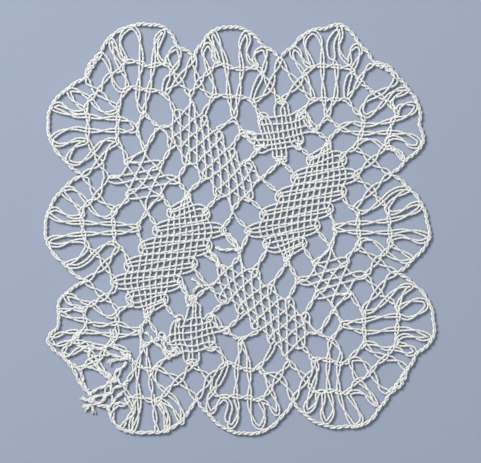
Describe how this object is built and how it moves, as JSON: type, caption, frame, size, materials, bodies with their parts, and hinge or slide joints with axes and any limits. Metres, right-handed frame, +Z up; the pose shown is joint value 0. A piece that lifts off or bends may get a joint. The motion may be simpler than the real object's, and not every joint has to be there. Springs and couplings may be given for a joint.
{
  "type": "bobbin lace piece",
  "caption": "Flat square sampler of white bobbin lace with woven and half-stitch blocks, pinholes and a scalloped fan edge.",
  "frame": {"origin": "centre of the outline's box, on the underside that lies on the table", "axes": "+Z up out of the lying lace, +Y towards the top edge as pictured, +X towards the right edge as pictured"},
  "size_m": [0.067, 0.0704, 0.001],
  "materials": {
    "cotton": "matt off-white cotton or linen lace thread"
  },
  "bodies": {
    "root": {"lace": "cotton"}
  },
  "joints": []
}
